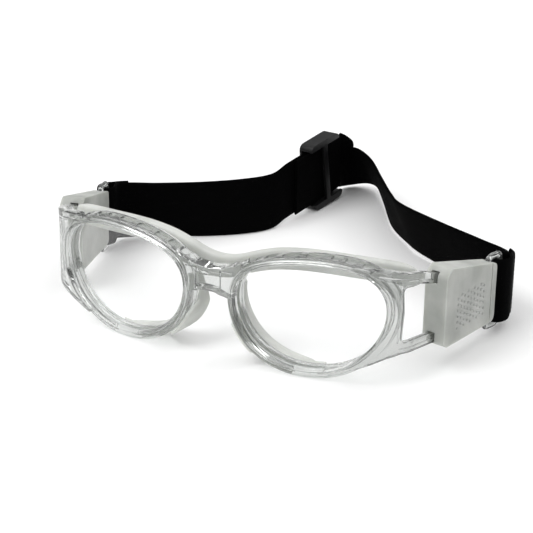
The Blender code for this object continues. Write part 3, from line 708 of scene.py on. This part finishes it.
def hem_groove_mesh():
    """A shallow channel across the sleeve's outer face, in front of its rear hem."""
    front = SLEEVE_REAR - 0.0034
    rear = SLEEVE_REAR - 0.0028
    low = SLEEVE_BOTTOM - 0.002
    corners = [(front, low), (rear, low), (rear, 0.020), (front, 0.020)]
    bm = bmesh.new()
    rows = []
    for outward in (-0.0004, 0.001):
        rows.append([bm.verts.new(sleeve_point(a, h, sleeve_half(a, 1) + outward))
                     for a, h in corners])
    for i in range(4):
        bm.faces.new((rows[0][i - 1], rows[0][i], rows[1][i], rows[1][i - 1]))
    bm.faces.new(rows[0][::-1])
    bm.faces.new(rows[1])
    return mesh_from(bm, "hem_groove")


def ring_pivot():
    x, y = arm_plan(RING_FRONT, 0.0)
    return Vector((x, y, RING_MIDDLE))


def sleeve_mesh():
    outline = rounded_corners([
        (SLEEVE_FRONT, SLEEVE_BOTTOM), (SLEEVE_REAR, SLEEVE_BOTTOM),
        (SLEEVE_REAR, SLEEVE_TOP_REAR), (SLEEVE_FRONT + SLEEVE_CUT, SLEEVE_TOP_FRONT),
        (SLEEVE_FRONT, SLEEVE_TOP_FRONT - SLEEVE_CUT)], 0.0026, 8)

    def place(along, height, side):
        return sleeve_point(along, height, side * sleeve_half(along, side))

    body = plate("sleeve", [outline], SLEEVE_FRONT, SLEEVE_REAR, 0.1, place)
    body = bevelled(body, 0.0014, 6)
    bm = bmesh.new()
    radius = RING_BAR + 0.0004
    bmesh.ops.create_cone(bm, cap_ends=True, segments=32, radius1=radius, radius2=radius,
                          depth=0.060, matrix=Matrix.Translation(ring_pivot()))
    ring_eye = mesh_from(bm, "ring_eye")
    body = boolean(body, [arm_mesh(GAP), ring_eye, hem_groove_mesh()], "DIFFERENCE")
    return joined([body] + stud_meshes(), "sleeve")


# Rings

def ring_mesh():
    length = RING_REAR - RING_FRONT
    corners = [(0.0, -RING_HALF_HEIGHT), (length, -RING_HALF_HEIGHT),
               (length, RING_HALF_HEIGHT), (0.0, RING_HALF_HEIGHT)]
    along = Vector((math.cos(ARM_END_ANGLE), math.sin(ARM_END_ANGLE), 0.0))
    outward = Vector((along.y, -along.x, 0.0))
    path = rounded_corners(corners, 0.0022, 10)
    sections = []
    for i, point in enumerate(path):
        heading = (path[(i + 1) % len(path)] - path[i - 1]).normalized()
        aside = Vector((heading.y, -heading.x))
        section = []
        for step in range(20):
            turn = 2 * math.pi * step / 20
            flat = point + RING_BAR * math.cos(turn) * aside
            section.append(ring_pivot() + flat.x * along + Vector((0, 0, flat.y))
                           + RING_BAR * math.sin(turn) * outward)
        sections.append(section)
    return loft("ring", sections, True)


# Strap

def band(name, stations):
    """Woven elastic with rounded edges and fine lengthwise cords."""
    half_width = 0.5 * STRAP_WIDTH
    half_thick = 0.5 * STRAP_THICKNESS
    cords = 15
    columns = cords * 4
    profile = []
    for side in (1, -1):
        for i in range(columns + 1):
            across = side * (1 - 2 * i / columns)
            edge = math.sqrt(max(0.0, 1 - abs(across) ** 14))
            ripple = 0.93 + 0.07 * abs(math.sin(math.pi * cords * 0.5 * (across + 1)))
            profile.append((across, side * max(edge, 0.05) * ripple))
    lengths = [0.0]
    for a, b in zip(stations, stations[1:]):
        lengths.append(lengths[-1] + (Vector(b[:3]) - Vector(a[:3])).length)
    sections = []
    for i, station in enumerate(stations):
        before = stations[max(i - 1, 0)]
        after = stations[min(i + 1, len(stations) - 1)]
        along = Vector((after[0] - before[0], after[1] - before[1], 0.0)).normalized()
        aside = Vector((-along.y, along.x, 0.0))
        lean = station[3]
        up = math.cos(lean) * Vector((0, 0, 1)) + math.sin(lean) * aside
        face = math.cos(lean) * aside - math.sin(lean) * Vector((0, 0, 1))
        middle = Vector(station[:3])
        sections.append([middle + a * half_width * up + b * half_thick * face
                         for a, b in profile])
    across = [a * half_width for a, b in profile]
    return loft(name, sections, False, (lengths, across))


def ring_end_stations(main, step):
    """The folded end's outer layer with its turn round the ring, and the path that goes on."""
    path = smooth_path(main, step)
    outer = []
    length = 0.0
    arm = Vector((math.cos(ARM_END_ANGLE), math.sin(ARM_END_ANGLE)))
    for i in range(1, len(path) - 1):
        length += (path[i].to_3d() - path[i - 1].to_3d()).length
        if length > FOLD_LENGTH:
            break
        heading = Vector((path[i + 1][0] - path[i - 1][0], path[i + 1][1] - path[i - 1][1]))
        heading = arm.lerp(heading.normalized(), min(1.0, length / FOLD_SPREAD)).normalized()
        spread = max(0.0, 1.0 - (length / FOLD_SPREAD) ** 2)
        away = LAYER_STEP + (2 * LOOP_RADIUS - LAYER_STEP) * spread
        outer.append(Vector((path[i][0] + away * heading.y, path[i][1] - away * heading.x,
                             path[i][2], 0.0)))
    turn = []
    for i in range(17):
        angle = math.pi * i / 16
        x, y = arm_plan(RING_REAR - LOOP_RADIUS * math.sin(angle),
                        LOOP_RADIUS * math.cos(angle))
        turn.append(Vector((x, y, RING_MIDDLE, 0.0)))
    return outer[::-1] + turn, path


def ring_end_points():
    start = arm_plan(RING_REAR, -LOOP_RADIUS)
    second = arm_plan(RING_REAR + 0.0055, -0.0022)
    return [
        (start.x, start.y, RING_MIDDLE, 0.0),
        (second.x, second.y, -0.0018, 0.0),
        (0.0813, 0.0716, -0.0028, 0.02),
        (0.0769, 0.0765, -0.0033, 0.06),
        (0.0690, 0.0812, -0.0032, 0.12),
    ]


def slider_axes():
    axis = Vector((math.cos(SLIDER_ANGLE), math.sin(SLIDER_ANGLE), 0.0))
    outward = Vector((axis.y, -axis.x, 0.0))
    run = (axis + Vector((0, 0, STRAIGHT_RISE))).normalized()
    return axis, run, outward.cross(run), outward


def straight_point(along, inward, lean=0.0):
    axis, _, _, aside = slider_axes()
    point = Vector(SLIDER_MIDDLE) + along * axis + inward * aside
    return (point.x, point.y, point.z + along * STRAIGHT_RISE, lean)


BAND_STEP = 0.0009


def left_strap_stations():
    main = ring_end_points() + [
        (0.0515, 0.0928, -0.0024, 0.34),
        (0.0315, 0.1034, -0.0010, 0.42),
        (0.0230, 0.1113, -0.0004, 0.38),
        (0.0123, 0.1236, 0.0010, 0.28),
        (0.0018, 0.1392, 0.0025, 0.34),
        (-0.0065, 0.1494, 0.0039, 0.50),
        (-0.0132, 0.1546, 0.0043, 0.62),
        (-0.0186, 0.1542, 0.0036, 0.46),
        straight_point(0.0125, 0.5 * LAYER_STEP, 0.03),
        straight_point(0.0105, 0.5 * LAYER_STEP),
        straight_point(0.0000, 0.5 * LAYER_STEP),
        straight_point(-OVERLAP_BEFORE_SLIDER, 0.5 * LAYER_STEP),
    ]
    fold, path = ring_end_stations(main, BAND_STEP)
    return fold + path[1:]


def right_strap_stations():
    def flipped(point):
        return (-point[0], *point[1:])
    main = ring_end_points() + [
        (0.0530, 0.0884, -0.0026, 0.04),
        (0.0392, 0.0975, -0.0018, 0.0),
        (0.0312, 0.1065, -0.0009, 0.0),
        flipped(straight_point(-0.0230, -0.5 * LAYER_STEP)),
        flipped(straight_point(-0.0100, -0.5 * LAYER_STEP)),
        flipped(straight_point(0.0, -0.5 * LAYER_STEP)),
        flipped(straight_point(TAIL_PAST_SLIDER, -0.5 * LAYER_STEP)),
    ]
    fold, path = ring_end_stations(main, BAND_STEP)
    return fold + path[1:]


def tube(points, radius, sides=8):
    """A closed round thread along points."""
    sections = []
    for i, point in enumerate(points):
        heading = (points[min(i + 1, len(points) - 1)] - points[max(i - 1, 0)]).normalized()
        side = heading.cross(Vector((0.3, 0.2, 0.93))).normalized()
        other = heading.cross(side)
        sections.append([point + radius * (math.cos(2 * math.pi * k / sides) * side
                                           + math.sin(2 * math.pi * k / sides) * other)
                         for k in range(sides)])
    return loft("thread", sections, False)


def bar_tack_mesh(along):
    """A dense zigzag of thread across the folded end, on its outer face."""
    fold, _ = ring_end_stations(ring_end_points(), BAND_STEP)
    at = min(range(len(fold) - 1), key=lambda i: abs(BAND_STEP * i - along))
    before = Vector(fold[at][:3])
    run = (Vector(fold[at + 1][:3]) - before).normalized()
    away = Vector((-run.y, run.x, 0.0))
    face = before + away * (0.5 * STRAP_THICKNESS + THREAD_RADIUS - 0.00001)
    points = []
    zigs = 38
    for i in range(zigs + 1):
        side = 0.0007 if i % 2 else -0.0007
        height = -0.0095 + 0.0190 * i / zigs
        points.append(face + side * run + Vector((0, 0, height)))
    return tube(points, THREAD_RADIUS, 6)


# Slider

def slider_mesh():
    reach = 0.5 * STRAP_THICKNESS + 0.5 * LAYER_STEP + GAP
    depth = reach + SLIDER_THICKNESS
    half = SLIDER_HALF_LENGTH
    past = 0.004
    slot = SLIDER_OPENING_HALF - 0.0003
    _, run, up, outward = slider_axes()

    def place(along, height, side):
        return Vector(SLIDER_MIDDLE) + along * run + height * up + side * depth * outward

    def block(along, height, across):
        bm = bmesh.new()
        bmesh.ops.create_cube(bm, size=2.0)
        for vert in bm.verts:
            a = along[0 if vert.co.x < 0 else 1]
            b = across[0 if vert.co.y < 0 else 1]
            vert.co = (Vector(SLIDER_MIDDLE) + a * run + vert.co.z * height * up
                       + b * outward)
        return mesh_from(bm, "block")

    outline = rounded_corners([(-half, -SLIDER_HALF_HEIGHT), (half, -SLIDER_HALF_HEIGHT),
                               (half, SLIDER_HALF_HEIGHT), (-half, SLIDER_HALF_HEIGHT)],
                              0.0032, 10)
    body = bevelled(plate("slider", [outline], -1, -1, 1, place), 0.0008, 4)
    cuts = [
        ((-half - past, half + past), SLIDER_OPENING_HALF, (-reach, reach)),
        ((SLIDER_BAR - half, half - SLIDER_BAR), slot, (-depth - past, 0.0)),
        ((-half - past, -0.5 * SLIDER_BAR), slot, (0.0, depth + past)),
        ((0.5 * SLIDER_BAR, half + past), slot, (0.0, depth + past)),
    ]
    body = boolean(body, [block(*cut) for cut in cuts], "DIFFERENCE")
    return bevelled(body, 0.00018, 2, 50.0)


# Materials

class Nodes:
    """A short way to make and link shader nodes."""

    def __init__(self, name):
        self.material = bpy.data.materials.new(name)
        self.material.use_nodes = True
        self.tree = self.material.node_tree
        self.shader = self.tree.nodes["Principled BSDF"]
        self.output = self.tree.nodes["Material Output"]

    def set(self, **values):
        for key, value in values.items():
            self.shader.inputs[key.replace("_", " ")].default_value = value

    def new(self, kind, **inputs):
        node = self.tree.nodes.new(kind)
        for key, value in inputs.items():
            node.inputs[key.replace("_", " ")].default_value = value
        return node

    def link(self, source, target):
        self.tree.links.new(source, target)

    def coordinates(self, kind="Object"):
        return self.new("ShaderNodeTexCoord").outputs[kind]

    def noise(self, scale, detail=3.0, coordinates=None):
        node = self.new("ShaderNodeTexNoise", Scale=scale, Detail=detail)
        self.link(coordinates or self.coordinates(), node.inputs["Vector"])
        return node.outputs["Fac"]

    def ramp(self, source, low, high, colour_low, colour_high):
        node = self.new("ShaderNodeValToRGB")
        node.color_ramp.elements[0].position = low
        node.color_ramp.elements[0].color = (*colour_low, 1.0)
        node.color_ramp.elements[1].position = high
        node.color_ramp.elements[1].color = (*colour_high, 1.0)
        self.link(source, node.inputs["Fac"])
        return node.outputs["Color"]

    def range(self, source, low, high):
        node = self.new("ShaderNodeMapRange")
        node.inputs["To Min"].default_value = low
        node.inputs["To Max"].default_value = high
        self.link(source, node.inputs["Value"])
        return node.outputs["Result"]

    def bump(self, height, strength, distance, normal=None):
        node = self.new("ShaderNodeBump", Strength=strength, Distance=distance)
        self.link(height, node.inputs["Height"])
        if normal:
            self.link(normal, node.inputs["Normal"])
        return node.outputs["Normal"]

    def lamps_pass(self, tint):
        """Lets light from lamps through, as clear plastic does."""
        path = self.new("ShaderNodeLightPath")
        clear = self.new("ShaderNodeBsdfTransparent", Color=(*tint, 1.0))
        mix = self.new("ShaderNodeMixShader")
        self.link(path.outputs["Is Shadow Ray"], mix.inputs[0])
        self.link(self.shader.outputs[0], mix.inputs[1])
        self.link(clear.outputs[0], mix.inputs[2])
        self.link(mix.outputs[0], self.output.inputs["Surface"])


def clear_material():
    n = Nodes("clear_moulding")
    n.set(IOR=1.55, Transmission_Weight=0.94, Metallic=0.0)
    haze = n.noise(60.0, 4.0)
    n.link(n.ramp(haze, 0.35, 0.7, (0.60, 0.615, 0.60), (0.74, 0.75, 0.74)),
           n.shader.inputs["Base Color"])
    n.link(n.range(n.noise(240.0), 0.0, 0.03), n.shader.inputs["Roughness"])
    n.link(n.bump(n.noise(160.0, 2.0), 0.08, 0.0003), n.shader.inputs["Normal"])
    n.lamps_pass((0.86, 0.87, 0.865))
    return n.material


def lens_material():
    n = Nodes("clear_lens")
    n.set(IOR=1.5, Transmission_Weight=1.0, Metallic=0.0)
    n.link(n.ramp(n.noise(25.0), 0.3, 0.7, (0.995, 0.998, 0.998), (1.0, 1.0, 1.0)),
           n.shader.inputs["Base Color"])
    n.link(n.range(n.noise(90.0), 0.0, 0.012), n.shader.inputs["Roughness"])
    n.lamps_pass((0.97, 0.97, 0.97))
    return n.material


def silicone_material(name, light, dark):
    n = Nodes(name)
    n.set(IOR=1.41, Metallic=0.0, Subsurface_Weight=0.55, Subsurface_Scale=0.004,
          Specular_IOR_Level=0.35)
    n.shader.inputs["Subsurface Radius"].default_value = (1.0, 1.0, 0.9)
    cloud = n.noise(70.0, 5.0)
    n.link(n.ramp(cloud, 0.32, 0.68, dark, light), n.shader.inputs["Base Color"])
    n.link(n.range(n.noise(400.0), 0.38, 0.55), n.shader.inputs["Roughness"])
    fine = n.bump(n.noise(2600.0, 2.0), 0.25, 0.00006)
    n.link(n.bump(n.noise(260.0, 2.0), 0.15, 0.0003, fine), n.shader.inputs["Normal"])
    return n.material


def elastic_material():
    """Black woven elastic: lengthwise cords crossed by a fine rib, with painted shade in the
    weave's hollows.
    """
    n = Nodes("black_woven_elastic")
    n.set(Metallic=0.0, Specular_IOR_Level=0.03)
    weave = n.new("ShaderNodeUVMap")
    weave.uv_map = "weave"
    split = n.new("ShaderNodeSeparateXYZ")
    n.link(weave.outputs[0], split.inputs[0])

    def wave(source, pitch):
        scale = n.new("ShaderNodeMath")
        scale.operation = "MULTIPLY"
        scale.inputs[1].default_value = 2 * math.pi / pitch
        n.link(source, scale.inputs[0])
        sine = n.new("ShaderNodeMath")
        sine.operation = "SINE"
        n.link(scale.outputs[0], sine.inputs[0])
        return sine.outputs[0]

    ribs = wave(split.outputs[0], 0.00075)
    cords = wave(split.outputs[1], 0.00078)
    cross = n.new("ShaderNodeMath")
    cross.operation = "MULTIPLY"
    n.link(ribs, cross.inputs[0])
    n.link(cords, cross.inputs[1])
    height = n.range(cross.outputs[0], 0.0, 1.0)
    # The base colour follows the weave's height: painted shade in the hollows and painted
    # highlight on the raised crossings.
    n.link(n.ramp(height, 0.1, 0.9, (0.0004, 0.0004, 0.0005), (0.0016, 0.0016, 0.0018)),
           n.shader.inputs["Base Color"])
    n.link(n.range(n.noise(900.0), 0.72, 0.92), n.shader.inputs["Roughness"])
    fuzz = n.bump(n.noise(5000.0, 2.0), 0.3, 0.00005)
    n.link(n.bump(height, 0.6, 0.00016, fuzz), n.shader.inputs["Normal"])
    return n.material


def thread_material():
    n = Nodes("black_stitching")
    n.set(Metallic=0.0, Sheen_Weight=0.2, Specular_IOR_Level=0.4)
    n.link(n.ramp(n.noise(3000.0), 0.3, 0.7, (0.008, 0.008, 0.009), (0.022, 0.022, 0.024)),
           n.shader.inputs["Base Color"])
    n.link(n.range(n.noise(2000.0), 0.5, 0.75), n.shader.inputs["Roughness"])
    n.link(n.bump(n.noise(6000.0), 0.4, 0.00004), n.shader.inputs["Normal"])
    return n.material


def slider_material():
    n = Nodes("black_moulded_plastic")
    n.set(Metallic=0.0, IOR=1.5, Specular_IOR_Level=0.25)
    n.link(n.ramp(n.noise(120.0, 4.0), 0.3, 0.7, (0.0025, 0.0025, 0.0028), (0.005, 0.005, 0.0055)),
           n.shader.inputs["Base Color"])
    n.link(n.range(n.noise(700.0), 0.36, 0.52), n.shader.inputs["Roughness"])
    n.link(n.bump(n.noise(3500.0, 2.0), 0.2, 0.00005), n.shader.inputs["Normal"])
    return n.material


# Floor, light and camera

def make_stage():
    bm = bmesh.new()
    bmesh.ops.create_grid(bm, x_segments=2, y_segments=2, size=8.0)
    floor = add_object("floor", mesh_from(bm, "floor"))
    n = Nodes("pale_floor")
    n.set(Roughness=0.7, Specular_IOR_Level=0.1)
    n.link(n.ramp(n.noise(2.0), 0.3, 0.7, (0.93, 0.93, 0.93), (0.94, 0.94, 0.94)),
           n.shader.inputs["Base Color"])
    floor.data.materials.append(n.material)


def make_light(name, place, target, size, power):
    data = bpy.data.lights.new(name, "AREA")
    data.shape = "DISK"
    data.size = size
    data.energy = power
    lamp = bpy.data.objects.new(name, data)
    bpy.context.scene.collection.objects.link(lamp)
    lamp.location = place
    lamp.rotation_euler = (Vector(target) - Vector(place)).to_track_quat("-Z", "Y").to_euler()


def make_world():
    """A white studio with a dark band round its walls, which draws the clear edges."""
    world = bpy.data.worlds.new("studio")
    bpy.context.scene.world = world
    world.use_nodes = True
    tree = world.node_tree
    background = tree.nodes["Background"]
    place = tree.nodes.new("ShaderNodeTexCoord")
    split = tree.nodes.new("ShaderNodeSeparateXYZ")
    ramp = tree.nodes.new("ShaderNodeValToRGB")
    tree.links.new(place.outputs["Generated"], split.inputs[0])
    tree.links.new(split.outputs["Z"], ramp.inputs["Fac"])
    shades = [(0.0, 0.80), (0.07, 0.75), (0.14, 0.02), (0.26, 0.12), (0.55, 1.0)]
    for position, _ in shades[1:-1]:
        ramp.color_ramp.elements.new(position)
    for element, (position, shade_of_grey) in zip(ramp.color_ramp.elements, shades):
        element.position = position
        element.color = (shade_of_grey, shade_of_grey, shade_of_grey, 1.0)
    tree.links.new(ramp.outputs["Color"], background.inputs["Color"])
    background.inputs["Strength"].default_value = 1.0


def make_camera():
    yaw = math.radians(29.77)
    elevation = math.radians(21.54)
    back = Vector((math.sin(yaw) * math.cos(elevation), -math.cos(yaw) * math.cos(elevation),
                   math.sin(elevation)))
    right = Vector((math.cos(yaw), math.sin(yaw), 0.0))
    up = back.cross(right)
    place = Vector((0.0, 0.005, 0.0)) + 0.5232 * back
    matrix = Matrix((right, up, back)).transposed().to_4x4()
    matrix.translation = place
    data = bpy.data.cameras.new("camera")
    data.sensor_width = 36.0
    data.lens = 102.96
    data.shift_x = 0.0985
    data.shift_y = 0.0493
    data.clip_start = 0.01
    camera = bpy.data.objects.new("camera", data)
    bpy.context.scene.collection.objects.link(camera)
    camera.matrix_world = stand() @ matrix
    bpy.context.scene.camera = camera


def main():
    clear = clear_material()
    lens = lens_material()
    pad = silicone_material("milky_silicone_pad", (0.60, 0.61, 0.585), (0.47, 0.48, 0.46))
    sleeve = silicone_material("milky_silicone_sleeve", (0.50, 0.51, 0.485), (0.33, 0.34, 0.32))
    elastic = elastic_material()
    thread = thread_material()
    plastic = slider_material()

    finish_piece("clear_front", front_mesh(), clear, "goggles",
                 ["front_frame"], 28.0)
    lens_shape = lens_mesh()
    brow = brow_pad_mesh()
    nose = nose_pad_mesh()
    sleeve_shape = sleeve_mesh()
    ring = ring_mesh()
    finish_piece("brow_cushion", brow, pad, "goggles", ["brow_pad"])
    for side, turn in (("left", lambda mesh: mesh.copy()), ("right", mirrored)):
        finish_piece(f"clear_lens_{side}", turn(lens_shape), lens, "goggles",
                     [f"lens_{side}"])
        finish_piece(f"nose_cushion_{side}", turn(nose), pad, "goggles",
                     [f"nose_pad_{side}"])
        finish_piece(f"side_sleeve_{side}", turn(sleeve_shape), sleeve, "goggles",
                     [f"sleeve_{side}"])
        finish_piece(f"clear_ring_{side}", turn(ring), clear, f"ring_{side}",
                     [f"strap_ring_{side}"])
        for row, along in (("rear", 0.0012), ("front", 0.0068)):
            finish_piece(f"stitches_{side}_{row}", turn(bar_tack_mesh(along)), thread, "goggles",
                         [f"bar_tack_{side}_{row}"])
    finish_piece("elastic_left", band("elastic_left", left_strap_stations()), elastic,
                 "goggles", ["strap_left"])
    finish_piece("elastic_right", mirrored(band("elastic_right", right_strap_stations())),
                 elastic, "goggles", ["strap_right"])
    finish_piece("strap_adjuster", slider_mesh(), plastic, "slider_body",
                 ["slider"])

    make_stage()
    make_world()
    make_light("key", (-0.5, -0.6, 1.2), (0, 0, 0), 0.9, 8.0)
    make_light("back", (0.6, 0.9, 1.0), (0, 0, 0), 0.8, 4.0)
    make_camera()
    view = bpy.context.scene.view_settings
    view.view_transform = "Standard"


main()
